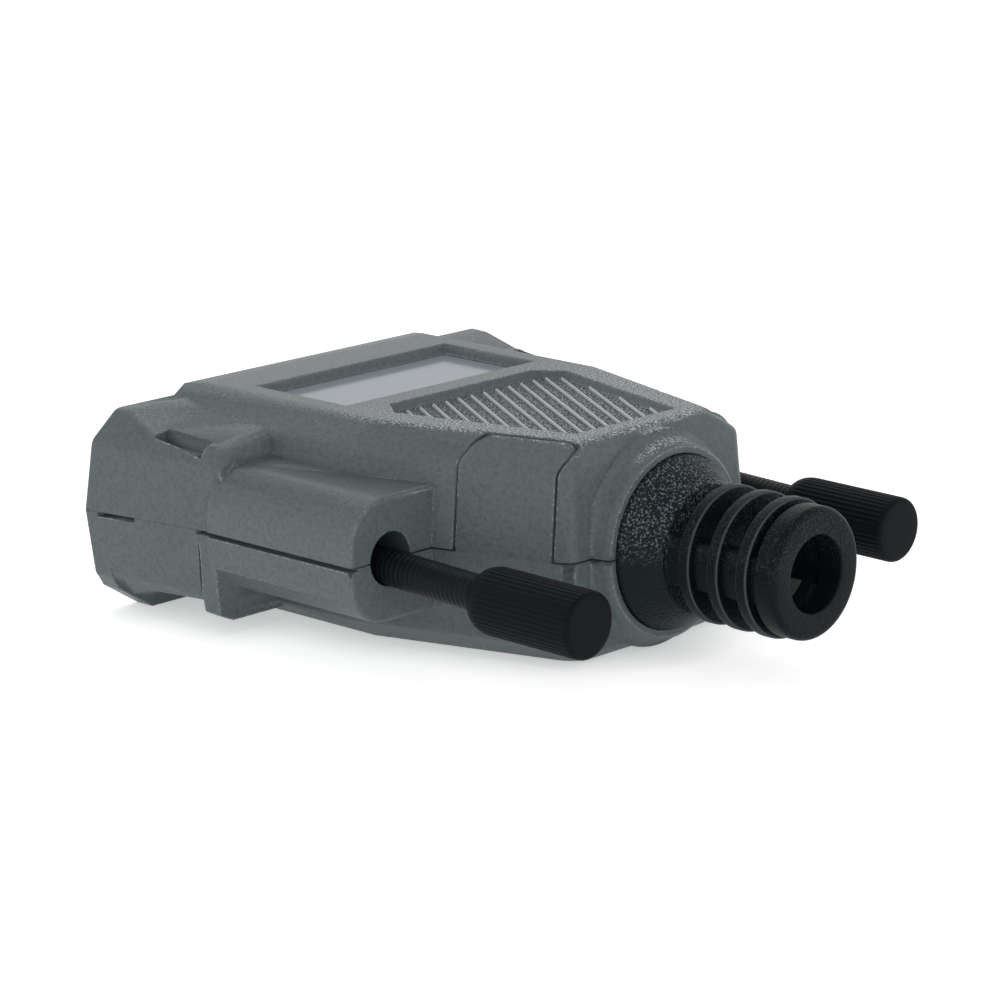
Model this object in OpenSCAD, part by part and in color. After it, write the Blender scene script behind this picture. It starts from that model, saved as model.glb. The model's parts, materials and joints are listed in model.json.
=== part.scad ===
// Snap-together hood for a 15-way D-sub connector, with a cable boot and two loose jackscrews.
// Modelled lying flat: X across the hood, +Y towards the mating face, +Z up.
// The origin is under the middle of the overall length, on the surface it rests on.

/* [Hood body] */
// Length from the end of the cable boot to the mating face
total_len = 50.4; // [49:0.1:54]
// Thickness of the closed hood
hood_h = 16; // [15.6:0.1:17]
// Width of the body behind the screw tunnels
body_w = 29.3; // [28.8:0.1:29.8]
// Width of the body at its cable end
rear_w = 18.8; // [18.4:0.1:20.4]
// Distance from the boot's end to the rear wall of the body
rear_y = 14.05; // [13.9:0.05:14.3]
// Distance from the boot's end to the start of the body's taper
taper_y = 31; // [30:0.5:34]
// Radius of the body's rear corners, seen from above
rear_corner_r = 1.1; // [0.6:0.1:1.6]
// Radius that rounds the bevel and the connector end's long edges
edge_r = 0.9; // [0.4:0.1:1.2]
// Radius of the edge between the rear wall and the top
rear_edge_r = 1.5; // [0.8:0.1:1.7]
// Width of the bevel along the top edges
bevel_w = 2.9; // [2.4:0.1:3.2]
// Height of the bevel along the top edges
bevel_h = 1.8; // [1.2:0.1:2.2]
// Lean of the side walls towards the top, per side
side_draft = 0.45; // [0.2:0.05:0.7]
// Thickness of the side walls at the part line
wall = 1.9; // [1.7:0.1:2.1]
// Thickness of the top and bottom skins
skin = 2; // [1.8:0.1:2.2]

/* [Connector end] */
// Width across the part line at the mating face
flange_w = 44.2; // [43.8:0.1:45]
// Width of the connector end where it meets the tunnels
flange_rear_w = 40.4; // [40:0.1:41.2]
// Length of the connector end
flange_len = 11.9; // [11.5:0.1:12.5]
// Height of the shoulder above the part line at the mating face
shoulder_h = 7.05; // [6.95:0.05:7.4]
// Height of the shoulder where it meets the tunnels
shoulder_rear_h = 5.1; // [4.8:0.1:5.6]
// Radius of the shoulder's rear edge
shoulder_rear_r = 1.3; // [0.8:0.1:1.6]
// Height of the shoulder beside the body, where it carries the latch windows
shoulder_mid_h = 6.6; // [6.3:0.1:6.9]
// Height of the drafted side wall below the shoulder's chamfer
chamfer_z = 5; // [4.6:0.1:5.4]
// Width of the shoulder's chamfer at the mating face
chamfer_w = 2.5; // [2:0.1:3]
// Width of the stamped connector plate that the hood grips
plate_w = 39.14; // [38.9:0.01:39.4]
// Height of the connector plate
plate_h = 12.55; // [12.3:0.01:12.6]
// Thickness of the groove for the connector plate
groove_t = 1; // [0.9:0.05:1.2]
// Thickness of the lip in front of the connector plate
lip_t = 0.7; // [0.6:0.05:0.8]
// Overlap of the lip on each edge of the connector plate
lip_over = 1; // [0.8:0.1:1.1]
// Length of the label window
label_len = 9.6; // [9:0.1:10]
// Width of the label window
label_w = 20; // [18:0.5:21]
// Depth of the label window
label_depth = 0.9; // [0.6:0.05:1]

/* [Grip] */
// Depth of the finger recess
grip_depth = 0.65; // [0.5:0.05:0.8]
// Number of diagonal ribs in the finger recess
rib_count = 13; // [11:1:14]
// Width of each diagonal rib
rib_w = 0.3; // [0.24:0.02:0.4]
// Height of each diagonal rib above the recess floor
rib_h = 0.4; // [0.2:0.05:0.45]
// Distance between ribs, measured across the hood
rib_step = 1.33; // [1.2:0.01:1.4]
// Angle of the ribs to the cable axis
rib_angle = 31.5; // [20:0.5:40]

/* [Latches] */
// Length of the side latch tab
tab_len = 7.1; // [6.5:0.1:7.4]
// Distance from the rear wall to the side latch tab
tab_gap_rear = 1.5; // [1.3:0.1:1.8]
// Gap around the side latch tab
tab_clear = 0.2; // [0.1:0.05:0.3]
// Length of the front latch arm
arm_len = 4.4; // [4:0.1:4.8]
// Thickness of the front latch arm
arm_t = 0.75; // [0.7:0.05:0.8]
// Shadow gap between the shells along the tunnels
tunnel_gap = 0.35; // [0.2:0.05:0.5]
// Shadow gap between the shells elsewhere
part_gap = 0.12; // [0.08:0.02:0.2]

/* [Jackscrews] */
// Distance between the jackscrew centres
screw_pitch = 33.32; // [33.2:0.01:33.4]
// Major diameter of the jackscrew thread
thread_d = 2.6; // [2.5:0.05:2.65]
// Length of threaded rod that stands out of the knob
rod_len = 30.5; // [29:0.1:31.5]
// Diameter of the knob
knob_d = 4.8; // [4.6:0.05:5]
// Length of the knob with its tapered shoulder
knob_len = 9.6; // [9:0.1:10]
// Length of the knob's tapered shoulder
knob_shoulder = 1.5; // [1.2:0.1:1.8]
// Distance that the jackscrew can be pushed in
screw_travel = 9; // [8:0.1:9.3]
// Downward lean of the loosely held jackscrews, in degrees
screw_droop = 2; // [1.5:0.1:2.1]
// Number of flutes in the knurl
knurl_count = 40; // [30:1:48]
// Depth of the knurl
knurl_depth = 0.12; // [0.08:0.01:0.16]
// Diameter of the tunnel hole at the cable side
hole_d = 3.9; // [3.85:0.05:4.1]
// Diameter of the wider bore that the retaining clip slides in
clip_bore_d = 5.7; // [5.6:0.05:5.8]
// Outer diameter of the retaining clip
clip_d = 4.5; // [4.3:0.05:4.6]
// Thickness of the retaining clip
clip_t = 1; // [0.8:0.05:1.1]
// Diameter of the groove that the clip snaps into
clip_groove_d = 2.1; // [2:0.05:2.2]
// Width across the part line of both tunnels
tunnel_w = 41; // [40.6:0.1:41.2]
// Height of the tunnels above the part line
tunnel_h = 4.5; // [4.2:0.05:4.6]
// Radius of the tunnels' outer edges
tunnel_r = 3.4; // [2.8:0.1:3.6]
// Length of the tunnels behind the connector end
tunnel_len = 14.1; // [13.6:0.1:14.4]

/* [Cable boot] */
// Bore for the cable
cable_d = 5.5; // [5:0.1:5.8]
// Diameter of the boot's flange
boot_flange_d = 12.5; // [12.2:0.1:12.7]
// Diameter of the segments
segment_d = 9.9; // [9.4:0.1:10.2]
// Thickness of each thin segment
segment_t = 0.95; // [0.8:0.05:1.1]
// Distance between segments
segment_step = 2.55; // [2.4:0.05:2.6]
// Number of thin segments
segment_count = 3; // [2:1:3]
// Thickness of the end collar
end_t = 1.8; // [1.6:0.1:2.2]
// Diameter of the end collar
end_d = 9.4; // [9:0.1:9.8]
// Width of the solid bridges between segments
bridge_w = 3.4; // [2.6:0.1:3.8]
// Diameter across the bridges
bridge_d = 8.9; // [8.4:0.1:9.2]
// Diameter of the neck that the shells close on
neck_d = 10; // [9.6:0.1:10.4]

/* [Cable clamp] */
// Width of the clamp straps
strap_w = 17; // [16.4:0.1:17.2]
// Length of the clamp straps along the cable
strap_len = 5; // [4.6:0.1:5.4]
// Thickness of the clamp straps
strap_t = 1; // [0.8:0.05:1.2]
// Distance between the clamp screws
clamp_pitch = 12.4; // [12:0.1:12.6]
// Diameter of the clamp screws
clamp_screw_d = 2.5; // [2.3:0.1:2.6]
// Width across the flats of the clamp nuts
nut_af = 5; // [4.8:0.1:5]
// Thickness of the clamp nuts
nut_t = 2; // [1.6:0.1:2.2]

/* [Hidden] */

$fn = 64;
shell_grey = "#5d6467";
boot_black = "#1f2326";
knob_black = "#202427";
steel_black = "#2a2c2e";
steel_zinc = "#b9bcbe";

fit_gap = 0.1;                 // clearance between pieces that seat in each other
slice_t = 0.01;                // thickness of the slices that a hull joins
half_h = hood_h / 2;
mate_y = total_len;
flange_y = mate_y - flange_len;
tunnel_y = flange_y - tunnel_len;
taper_angle = atan((body_w - rear_w) / 2 / (taper_y - rear_y));
cavity_h = half_h - skin;
cavity_y = rear_y + 1.45;
rear_lean = 0.6;               // lean of the rear wall over the hood's half height
flange_draft = 0.16;           // lean of the connector end's side walls, as a slope
front_ease = 1.8;              // length of the slight slope behind the mating face
front_drop = 0.27;             // fall of that slope
groove_y = mate_y - lip_t - groove_t;
groove_clear = 0.2;            // clearance around the connector plate
stop_t = 1.2;                  // rib behind the connector plate
chamber_y = flange_y + 1.4;
chamber_h = shoulder_rear_h - 0.9;
chamber_w = 37.4;
plate_r = 2.5;
lip_w = plate_w - 2 * lip_over;
lip_h = plate_h - 2 * lip_over + 0.2;

screw_x = screw_pitch / 2;
screw_drop = hole_d / 2 - thread_d / 2 - 0.03;  // the rod rests on the lower edge of its hole
clip_y = 4.65;                 // place of the retaining clip, from the tunnel's end face
clip_clear = 0.03;             // radial clearance of the clip in its groove
clip_side_clear = 0.04;        // clearance on each face of the clip
clip_mouth = 1.7;              // opening of the clip, which it snaps on through
rod_root = 5;                  // length of the rod inside the knob

boot_neck_y = rear_y - 0.85;   // back of the boot's outer flange
boot_inner_t = 1.3;
boot_inner_d = 2 * cavity_h - 0.3;
collar_d = 14.2;
collar_y = rear_y - 1.35;
flange_rim_y = boot_neck_y - 0.8;
cone_y = flange_rim_y - 1.85;

clamp_y = cavity_y + boot_inner_t + 1.6;
strap_bend_r = cable_d / 2 + 0.15;
nut_z = -strap_t - nut_t;
head_d = 4.6;
head_h = 1.6;

tab_y0 = rear_y + tab_gap_rear;
arm_y0 = chamber_y + 0.95;
arm_x = 18.65;
arm_nub = 0.3;
arm_window_in = 0.5;           // reach of the shoulder's window towards the body
arm_root = 3.6;                // depth of the arm's root below the part line
arm_ledge_z = 3.7;
slot_clear = 0.25;
slot_side_clear = 0.12;

label_y0 = 35.4;

grip_front_y = label_y0 - 1.8;
grip_rear_y = rear_y + 3.3;
grip_front_w = 18.4;
grip_rear_w = 10.8;
grip_cut = 2.2;                // length of the recess's front corners
rib_y = grip_front_y - 2.4;
rib_first_x = -7.5;

post_x = 9.6;
post_y = 27.6;
post_d = 3.4;
pin_d = 1.6;

module placed() {
    translate([0, -total_len / 2, half_h]) children();
}

// Turns a shape drawn along Z so that it runs along +Y.
module along_y() {
    rotate([-90, 0, 0]) children();
}

// Extrudes an outline in the X-Z plane from y over a length.
module xz_slab(y, len) {
    translate([0, y + len, 0]) rotate([90, 0, 0]) linear_extrude(len) children();
}

module rounded_rect(w, h, r) {
    for (sx = [-1, 1], sz = [-1, 1])
        translate([sx * (w / 2 - r), sz * (h / 2 - r)]) circle(r);
    square([w - 2 * r, h], center = true);
    square([w, h - 2 * r], center = true);
}

function arc(cx, cy, r, from, to, steps) =
    [for (i = [0 : steps]) let (a = from + (to - from) * i / steps) [cx + r * cos(a), cy + r * sin(a)]];
// Points of an arc of radius r that rounds the corner b between the points a and c.
function fillet(a, b, c, r, steps) =
    let (u = (a - b) / norm(a - b), v = (c - b) / norm(c - b), half = acos(u * v) / 2,
         m = b + (u + v) / norm(u + v) * r / sin(half), p = b + u * r / tan(half) - m,
         q = b + v * r / tan(half) - m, from = atan2(p[1], p[0]), turn = atan2(q[1], q[0]) - from)
    arc(m[0], m[1], r, from, from + (turn > 180 ? turn - 360 : turn < -180 ? turn + 360 : turn), steps);
function mirrored(p) = concat(p, [for (i = [len(p) - 1 : -1 : 0]) [-p[i][0], p[i][1]]]);

// Outline of the body seen from above, drawn in from its edges, with r the radius of its rear corners.
function body_outline(side, rear, front, r = rear_corner_r) =
    let (w = rear_w / 2 - side + rear * tan(taper_angle),
         cx = w - r * (1 - sin(taper_angle)) / cos(taper_angle))
    mirrored(concat(arc(cx, rear_y + rear + r, r, -90, -taper_angle, 6),
                    [[body_w / 2 - side, taper_y], [body_w / 2 - side, mate_y - front]]));

module body_slice(z, side, rear, front, r = rear_corner_r) {
    translate([0, 0, z - slice_t]) linear_extrude(slice_t) polygon(body_outline(side, rear, front, r));
}

// One half of the body, with drafted walls, bevelled sides and rounded upper edges.
module half_body() {
    bevel_z = half_h - bevel_h;
    low = [side_draft, bevel_z];
    high = [bevel_w, half_h];
    rear_z = half_h - rear_edge_r;
    profile = concat([[0, slice_t]], fillet([0, 0], low, high, edge_r, 4), [(low + high) / 2],
                     fillet(low, high, high + [1, 0], 1.5 * edge_r, 4));
    hull() for (p = profile) {
        lift = max(0, p[1] - rear_z);
        rear = rear_lean * p[1] / half_h + rear_edge_r - sqrt(rear_edge_r * rear_edge_r - lift * lift);
        front = front_ease * max(0, 1 - (half_h - p[1]) / front_drop);
        body_slice(p[1], p[0], rear, front, rear_corner_r + 0.9 * max(0, (p[1] - bevel_z) / bevel_h));
    }
}

// Half a section of the connector end, s = [y, half width, side wall's height, shoulder's half width,
// shoulder's height at its edge, and beside the body].
module flange_section(s) {
    side = [s[1] - s[2] * flange_draft, s[2]];
    edge = [s[3], s[4]];
    crease = [body_w / 2 - 1, s[5]];
    xz_slab(s[0] == mate_y ? s[0] - slice_t : s[0], slice_t)
        polygon(mirrored(concat([[s[1], 0]], fillet([s[1], 0], side, edge, edge_r, 3),
                                fillet(side, edge, crease, edge_r, 3), [crease])));
}

// One half of the connector end: a full rim, then a lower shoulder whose rear edge is rounded.
module half_flange() {
    front_w = flange_w / 2;
    rear_w = flange_rear_w / 2;
    edge_w = front_w - 0.8 - chamfer_w;
    edge_h = shoulder_rear_h + 0.85;
    face = [mate_y, front_w - 0.12, chamfer_z, edge_w, shoulder_h - 0.08, shoulder_h - 0.08];
    rim = [mate_y - 0.15, front_w, chamfer_z, edge_w, shoulder_h, shoulder_h];
    rim_rear = [mate_y - 1.5, front_w - 0.25, chamfer_z, edge_w, shoulder_h - 0.05, shoulder_h];
    plateau = [mate_y - 4.1, front_w - 0.65, chamfer_z - 0.2, edge_w + 0.6, edge_h, shoulder_mid_h];
    rear = [flange_y + shoulder_rear_r, rear_w + 0.2, chamfer_z - 0.4, rear_w - 1.4, edge_h - 0.2,
            shoulder_mid_h - 0.2];
    fall = [0, 0.4, 0.3, 0.5, 0.85, shoulder_mid_h - 0.2 - shoulder_rear_h];
    hull() for (s = [face, rim, rim_rear, plateau]) flange_section(s);
    hull() {
        flange_section(plateau);
        for (t = [1, 0.5, 0.15, 0])
            flange_section(rear - (1 - t) * shoulder_rear_r * [1, 0, 0, 0, 0, 0]
                           - (1 - sqrt(1 - (1 - t) * (1 - t))) * fall);
    }
}

// The screw tunnels of both sides, as one rounded slab through the body.
module tunnels() {
    ease = 0.25;                   // rounding of the end faces' edges
    hull() for (k = [0 : 3]) let (step = 1 - cos(30 * k))
        xz_slab(tunnel_y + ease * step, tunnel_len + 0.5 - ease * step)
            offset(-ease * (1 - sin(30 * k))) rounded_rect(tunnel_w, 2 * tunnel_h, tunnel_r);
}

// Flared ring around the boot's flange.
module collar() {
    flare = 1.1;
    base_r = min(collar_d / 2 + flare, half_h - 0.15);
    grow = base_r - collar_d / 2;
    translate([0, collar_y, 0]) along_y() rotate_extrude()
        polygon(concat([[0, 0], [collar_d / 2 - 0.3, 0], [collar_d / 2, 0.3]],
                       [for (a = [10 : 20 : 90]) [base_r - grow * cos(a), 0.3 + 1.3 * sin(a)]],
                       [[base_r, 3], [0, 3]]));
}

module half_space() {
    translate([-flange_w, -1, 0]) cube([2 * flange_w, mate_y + 2, hood_h]);
}

module half_outer() {
    half_body();
    half_flange();
    intersection() {
        union() {
            tunnels();
            collar();
        }
        half_space();
    }
}

// Everything that is open inside the closed hood.
module cavity() {
    translate([0, 0, -cavity_h]) linear_extrude(2 * cavity_h)
        intersection() {
            polygon(body_outline(wall, cavity_y - rear_y, 0));
            translate([-body_w, cavity_y]) square([2 * body_w, groove_y - stop_t - cavity_y]);
        }
    xz_slab(chamber_y, groove_y - stop_t - chamber_y) square([chamber_w, 2 * chamber_h], center = true);
    xz_slab(groove_y - stop_t - 1, mate_y - groove_y + stop_t + 2) rounded_rect(lip_w, lip_h, 1.2);
    xz_slab(groove_y, groove_t)
        rounded_rect(plate_w + 2 * groove_clear, plate_h + 2 * groove_clear, plate_r);
    translate([0, collar_y - 1, 0]) along_y()
        cylinder(d = boot_flange_d + 2 * fit_gap, h = boot_neck_y - collar_y + 1 + fit_gap);
    translate([0, collar_y, 0]) along_y() cylinder(d = neck_d + 2 * fit_gap, h = cavity_y - collar_y + 1);
    for (side = [-1, 1]) translate([side * screw_x, 0, 0]) {
        translate([0, tunnel_y - 1, 0]) along_y() cylinder(d = hole_d, h = clip_y + 2);
        translate([0, tunnel_y + clip_y - fit_gap, 0]) along_y()
            cylinder(d = clip_bore_d, h = chamber_y - tunnel_y - clip_y + 1);
    }
}

// Outline of the side latch tab, drawn in the Y-Z plane and run across the hood.
module tab_prism(grow) {
    r = 1;
    y0 = tab_y0 - grow;
    y1 = tab_y0 + tab_len + grow;
    top = half_h - 0.15 + grow;
    translate([-flange_w / 2, 0, 0]) rotate([90, 0, 90]) linear_extrude(flange_w) {
        translate([y0, -1]) square([y1 - y0, top - r + 1]);
        translate([y0 + r, 0]) square([y1 - y0 - 2 * r, top]);
        for (y = [y0 + r, y1 - r]) translate([y, top - r]) circle(r);
    }
}

// Everything outside this line, seen from above, may belong to a side latch tab.
module tab_inner(side) {
    translate([0, 0, -1]) linear_extrude(hood_h) polygon(body_outline(side, 0, 0));
}

module grip_outline(inset, front_inset) {
    polygon(mirrored([[grip_rear_w / 2 - inset, grip_rear_y + inset],
                      [grip_front_w / 2 - inset, grip_front_y - grip_cut - inset / 2],
                      [grip_front_w / 2 - 1.7 - inset / 2, grip_front_y - front_inset]]));
}

// Finger recess with diagonal ribs, as the shape to be taken away from the top.
module grip_recess() {
    difference() {
        translate([0, 0, half_h - grip_depth]) linear_extrude(grip_depth + 1) grip_outline(0, 0);
        translate([0, 0, half_h - grip_depth - 1]) linear_extrude(1 + rib_h)
            intersection() {
                grip_outline(0.45, 1.6);
                for (i = [0 : rib_count - 1])
                    translate([rib_first_x + i * rib_step, rib_y]) rotate(90 - rib_angle)
                        translate([-40, -rib_w / 2]) square([40, rib_w]);
            }
    }
}

module label_window() {
    translate([-label_w / 2, label_y0, half_h - label_depth]) cube([label_w, label_len, hood_h]);
}

module upper_shell() color(shell_grey) placed() {
    difference() {
        half_outer();
        cavity();
        grip_recess();
        label_window();
        // notches for the side latch tabs of the lower shell
        difference() {
            tab_prism(tab_clear);
            tab_inner(bevel_w + tab_clear);
        }
        arm_slot(-1, hood_h, 0, 0);
        arm_slot(-1, arm_ledge_z, arm_nub, 0);
        arm_slot(shoulder_rear_h - 0.2, hood_h, 0, arm_window_in);
    }
    locating_posts(1);
}

// Short posts inside a shell; the upper ones have a socket and the lower ones a pin.
module locating_posts(dir) {
    for (side = [-1, 1]) translate([side * post_x, post_y, 0]) scale([1, 1, dir]) difference() {
        cylinder(d = post_d, h = cavity_h + 0.3);
        if (dir > 0) translate([0, 0, -1]) cylinder(d = pin_d + 2 * fit_gap, h = 3);
    }
}

module side_tabs() {
    intersection() {
        difference() {
            half_body();
            cavity();
            tab_inner(bevel_w);
        }
        tab_prism(0);
    }
}

// Room around the front latch arms from z0 to z1, wider by given amounts towards the outside and the body.
module arm_slot(z0, z1, outer, inner) {
    for (side = [0, 1]) mirror([side, 0, 0])
        translate([arm_x - slot_side_clear - inner, arm_y0 - slot_clear, z0])
            cube([arm_t + 2 * slot_side_clear + outer + inner, arm_len + 2 * slot_clear, z1 - z0]);
}

// Arms that stand up from the lower shell and catch under a ledge of the upper one.
module latch_arms() {
    barb_h = 1.2;
    barb_top = arm_ledge_z - 0.1;
    root_z = -arm_root - 0.3;
    for (side = [0, 1]) mirror([side, 0, 0]) {
        translate([arm_x, arm_y0, root_z]) cube([arm_t, arm_len, shoulder_rear_h - root_z]);
        translate([arm_x + arm_t - 0.1, 0, 0]) xz_slab(arm_y0, arm_len)
            polygon([[0, barb_top - barb_h], [arm_nub + 0.1, barb_top - barb_h / 2],
                     [arm_nub + 0.1, barb_top], [0, barb_top]]);
    }
}

// Full-depth rim and rear rib of the lower shell's connector end.
module lower_ribs() {
    rim_w = flange_w / 2 - 0.45;
    rear_w = flange_rear_w / 2 + 0.1;
    mirror([0, 0, 1]) {
        xz_slab(mate_y - 1.7, 1.7)
            polygon(mirrored([[rim_w, 0.5], [rim_w - 0.55, chamfer_z], [rim_w - 1.15, chamfer_z + 1],
                              [rim_w - 4.35, half_h]]));
        xz_slab(flange_y, 1.6)
            polygon(mirrored([[rear_w, 0], [rear_w - 0.25, shoulder_rear_h - 0.4],
                              [rear_w - 0.5, shoulder_rear_h + 1.1], [rear_w - 1.7, shoulder_rear_h + 1.7]]));
    }
}

// Wedge-shaped grooves in front of the lower shell's rear rib, nothing wide at the part line.
module rib_grooves() {
    deep = 1.1;
    wide = 0.9;
    for (side = [0, 1]) mirror([side, 0, 0])
        translate([flange_rear_w / 2 + 0.25 - deep, flange_y + 1.6, 0]) rotate([90, 0, 90])
            linear_extrude(flange_w) polygon([[0, -0.5], [0, -half_h - 1], [wide, -half_h - 1]]);
}

// Shadow gaps along the part line, cut into the top edge of the lower shell.
module part_line_gaps() {
    depth = 0.7;
    reach = 1.7;                   // how far the wide gap runs on past the tunnels
    slot_len = 3.4;                // slot for prising the shells apart, near the mating face
    for (side = [0, 1]) mirror([side, 0, 0]) {
        translate([tunnel_w / 2 - depth, tunnel_y - 1, -tunnel_gap])
            cube([flange_w, tunnel_len + 1 + reach, 1]);
        translate([flange_w / 2 - 1.7, mate_y - 1.2 - slot_len, -tunnel_gap]) cube([flange_w, slot_len, 1]);
    }
    translate([0, 0, -part_gap]) linear_extrude(1) difference() {
        translate([-tunnel_w / 2, collar_y - 1]) square([tunnel_w, tunnel_y - collar_y + 1 + depth]);
        polygon(body_outline(depth, depth, 0));
        translate([-collar_d / 2 + depth, collar_y - 2]) square([collar_d - 2 * depth, 4]);
        translate([-tunnel_w, tunnel_y + depth]) square([2 * tunnel_w, 4]);
    }
}

// Places something at each clamp screw, or at one side's.
module at_clamp_screws(sides = [-1, 1]) {
    for (side = sides) translate([side * clamp_pitch / 2, clamp_y + strap_len / 2, 0]) children();
}

module clamp_posts() {
    at_clamp_screws() translate([0, 0, -cavity_h - 0.3]) difference() {
        cylinder(d = 5.6, h = cavity_h + 0.3 + nut_z);
        translate([0, 0, 1]) cylinder(d = clamp_screw_d + 0.5, h = cavity_h);
    }
}

module lower_shell() color(shell_grey) placed() {
    difference() {
        union() {
            mirror([0, 0, 1]) half_outer();
            lower_ribs();
        }
        cavity();
        mirror([0, 0, 1]) grip_recess();
        part_line_gaps();
        rib_grooves();
        arm_slot(-arm_root, 1, 0, 0);
    }
    side_tabs();
    latch_arms();
    clamp_posts();
    locating_posts(-1);
    for (side = [-1, 1]) translate([side * post_x, post_y, -1]) cylinder(d = pin_d, h = 2.6);
}

module cable_boot() color(boot_black) placed() {
    bore_r = cable_d / 2;
    segment_r = segment_d / 2;
    flange_r = boot_flange_d / 2;
    end_r = end_d / 2;
    inner_y = cavity_y + fit_gap;
    difference() {
        union() {
            along_y() rotate_extrude() {
                polygon([[bore_r, 0], [end_r - 0.4, 0], [end_r, 0.7], [end_r, end_t], [bore_r, end_t]]);
                polygon([[bore_r, cone_y], [segment_r, cone_y], [flange_r - 0.1, flange_rim_y],
                         [flange_r, flange_rim_y + 0.1], [flange_r, boot_neck_y], [neck_d / 2, boot_neck_y],
                         [neck_d / 2, inner_y], [boot_inner_d / 2, inner_y],
                         [boot_inner_d / 2, inner_y + boot_inner_t], [bore_r, inner_y + boot_inner_t]]);
            }
            for (i = [1 : segment_count])
                translate([0, cone_y - i * segment_step, 0]) along_y() cylinder(d = segment_d, h = segment_t);
            // bridges on both sides join the segments
            intersection() {
                along_y() cylinder(d = bridge_d, h = cone_y + 0.5);
                translate([-bridge_d, end_t / 2, -bridge_w / 2]) cube([2 * bridge_d, cone_y, bridge_w]);
            }
        }
        translate([0, -1, 0]) along_y() cylinder(d = cable_d, h = total_len);
    }
}

// One clamp strap, arched over the cable, with its face on the part line.
module strap() {
    w = strap_w / 2;
    r = strap_bend_r;
    difference() {
        xz_slab(clamp_y, strap_len) difference() {
            union() {
                translate([-w, 0]) square([2 * w, strap_t]);
                intersection() {
                    circle(r + strap_t);
                    translate([-w, 0]) square([2 * w, w]);
                }
            }
            circle(r);
        }
        at_clamp_screws() translate([0, 0, -1]) cylinder(d = clamp_screw_d + 0.3, h = strap_t + 2);
    }
}

module clamp_strap_upper() color(steel_zinc) placed() strap();
module clamp_strap_lower() color(steel_zinc) placed() mirror([0, 0, 1]) strap();

module clamp_screw(side) color(steel_zinc) placed() at_clamp_screws([side]) {
    head_r = head_d / 2;
    slot_w = 0.5;
    translate([0, 0, strap_t]) difference() {
        rotate_extrude()
            polygon([[0, 0], [head_r, 0], [head_r, head_h * 0.6], [head_r - 0.7, head_h], [0, head_h]]);
        for (a = [0, 90]) rotate(a) translate([-head_d / 4, -slot_w / 2, head_h / 2])
            cube([head_d / 2, slot_w, head_h]);
    }
    translate([0, 0, nut_z - 1]) cylinder(d = clamp_screw_d, h = 1 - nut_z + strap_t + 0.1);
}

module clamp_nut(side) color(steel_zinc) placed() at_clamp_screws([side])
    translate([0, 0, nut_z]) difference() {
        rotate(30) cylinder(d = nut_af / cos(30), h = nut_t, $fn = 6);
        translate([0, 0, -1]) cylinder(d = clamp_screw_d + 0.1, h = nut_t + 2);
    }

// Frame of one jackscrew: its axis leans, and its zero is at the tunnel's end face.
module on_screw(side) placed()
    translate([side * screw_x, tunnel_y, -screw_drop]) rotate([screw_droop, 0, 0]) along_y() children();

module jackscrew(side) color(steel_black) on_screw(side) {
    tip = 0.4;
    groove_z = clip_y - clip_side_clear;
    front_z = clip_y + clip_t + clip_side_clear;
    end_z = rod_len - screw_travel - tip;
    root_z = -screw_travel - rod_root;
    translate([0, 0, root_z]) cylinder(d = thread_d, h = groove_z - root_z);
    translate([0, 0, groove_z - 0.1]) cylinder(d = clip_groove_d, h = front_z - groove_z + 0.2);
    translate([0, 0, front_z]) cylinder(d = thread_d, h = end_z - front_z);
    translate([0, 0, end_z]) cylinder(d1 = thread_d, d2 = thread_d - 2 * tip, h = tip);
}

module knob(side) color(knob_black) on_screw(side) {
    r = knob_d / 2;
    neck_r = thread_d / 2 + 0.35;
    shoulder_z = knob_len - knob_shoulder;
    flute = 180 / knurl_count;
    translate([0, 0, -screw_travel - knob_len]) difference() {
        intersection() {
            rotate_extrude()
                polygon([[0, 0], [r - 0.2, 0], [r, 0.2], [r, shoulder_z],
                         [r - 0.35, shoulder_z + knob_shoulder * 0.45], [neck_r, knob_len], [0, knob_len]]);
            linear_extrude(knob_len) polygon([for (i = [0 : 2 * knurl_count - 1])
                (r - (i % 2) * knurl_depth) * [cos(flute * i), sin(flute * i)]]);
        }
        translate([0, 0, knob_len - rod_root]) cylinder(d = thread_d + 0.02, h = rod_root + 1);
    }
}

module retaining_clip(side) color(steel_zinc) on_screw(side)
    translate([0, 0, clip_y]) difference() {
        cylinder(d = clip_d, h = clip_t);
        translate([0, 0, -1]) cylinder(d = clip_groove_d + 2 * clip_clear, h = clip_t + 2);
        translate([-clip_mouth / 2, 0, -1]) cube([clip_mouth, clip_d, clip_t + 2]);
    }

upper_shell();
lower_shell();
cable_boot();
clamp_strap_upper();
clamp_strap_lower();
clamp_screw(-1);  // clamp_screw_left
clamp_screw(1);  // clamp_screw_right
clamp_nut(-1);  // clamp_nut_left
clamp_nut(1);  // clamp_nut_right
retaining_clip(-1);  // retaining_clip_left
retaining_clip(1);  // retaining_clip_right
jackscrew(-1);  // jackscrew_left
jackscrew(1);  // jackscrew_right
knob(-1);  // knob_left
knob(1);  // knob_right
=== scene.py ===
# Looks of the D-sub hood: moulded grain, rounded edges, real threads and knurls, floor, lamps and camera.
import json
import math

import bmesh
import bpy
from mathutils import Matrix, Vector


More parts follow.
